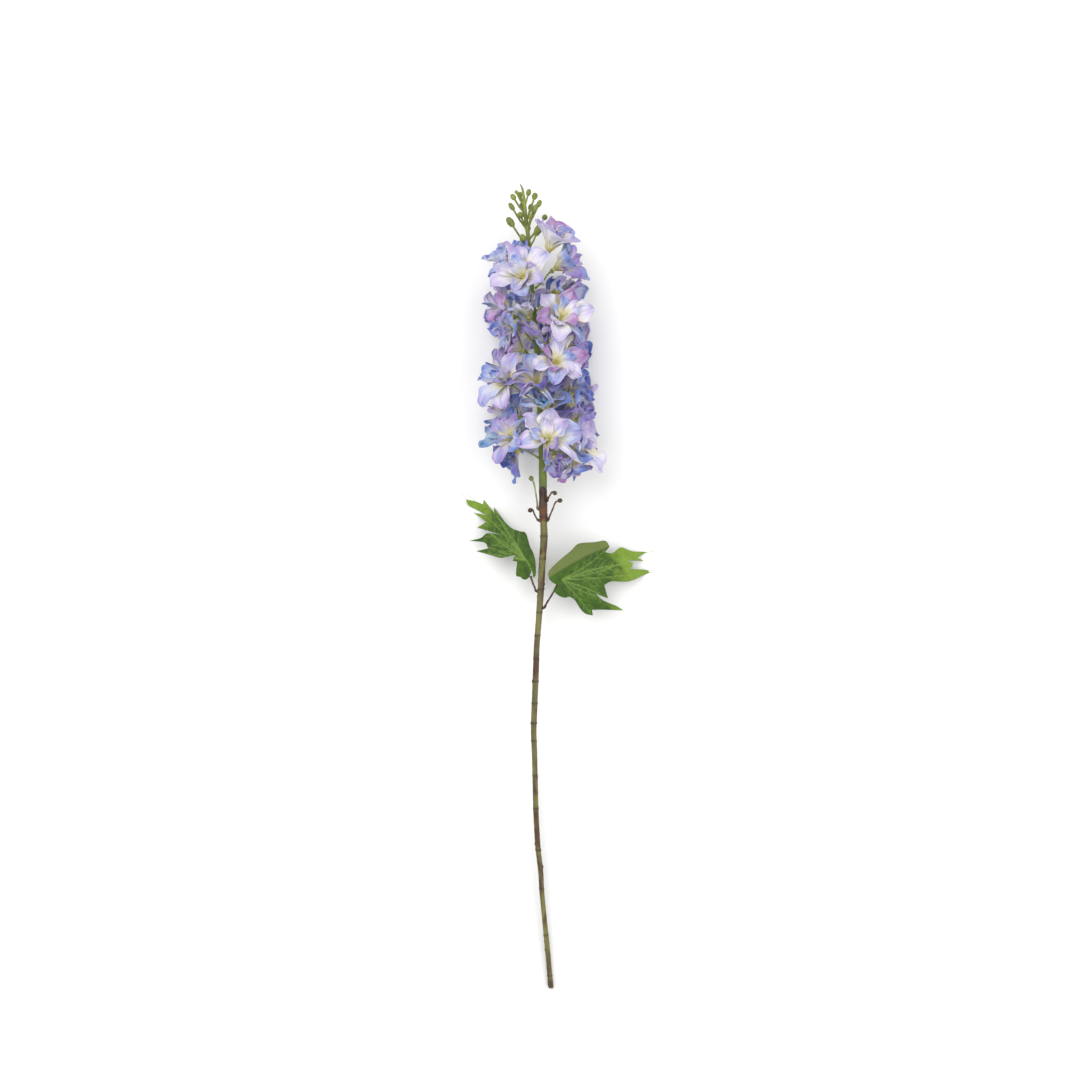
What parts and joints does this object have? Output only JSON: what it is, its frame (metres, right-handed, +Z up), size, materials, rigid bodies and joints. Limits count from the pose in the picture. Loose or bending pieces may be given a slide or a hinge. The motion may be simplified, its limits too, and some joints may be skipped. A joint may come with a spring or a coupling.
{
  "type": "delphinium flower spike",
  "caption": "Cut delphinium stem lying down: a tall spike of lilac and blue florets with a budded green tip, a ringed stem and lobed leaves.",
  "frame": {"origin": "on the surface the spike lies on, under the middle of its bounding box", "axes": "+Y along the stem towards the budded tip, +Z up, +X to the right seen from above with the tip away"},
  "size_m": [0.196, 0.8506, 0.1017],
  "materials": {
    "petal": "soft woven petal fabric, shaded cream, lilac, violet and blue",
    "leaf": "printed leaf fabric, dark green with pale veins and yellow-green tips",
    "stem": "olive and brown moulded, with ring joints",
    "collar": "dark brown moulded",
    "axis": "green moulded",
    "bud": "olive green moulded",
    "stamen": "pale yellow"
  },
  "bodies": {
    "root": {"stem": "stem", "stem_collar": "collar", "spike_axis": "axis", "tip_bud_spray": "bud", "left_upper_bud_stalk": "collar", "left_lower_bud_stalk": "collar", "right_curled_stalk": "collar", "right_lower_bud_stalk": "collar", "leaf_left": "leaf", "leaf_right": "leaf", "leaf_left_petiole": "collar", "leaf_right_petiole": "collar", "floret_01": "petal", "floret_02": "petal", "floret_03": "petal", "floret_04": "petal", "floret_05": "petal", "floret_06": "petal", "floret_07": "petal", "floret_08": "petal", "floret_09": "petal", "floret_10": "petal", "floret_11": "petal", "floret_12": "petal", "floret_13": "petal", "floret_14": "petal", "floret_15": "petal", "floret_16": "petal", "floret_17": "petal", "floret_18": "petal", "floret_19": "petal", "floret_20": "petal", "floret_21": "petal", "floret_22": "petal", "floret_23": "petal", "floret_24": "petal", "floret_25": "petal", "floret_26": "petal", "floret_27": "petal", "floret_28": "petal", "floret_29": "petal", "floret_30": "petal", "floret_31": "petal", "floret_32": "petal", "floret_33": "petal", "floret_34": "petal"}
  },
  "joints": []
}
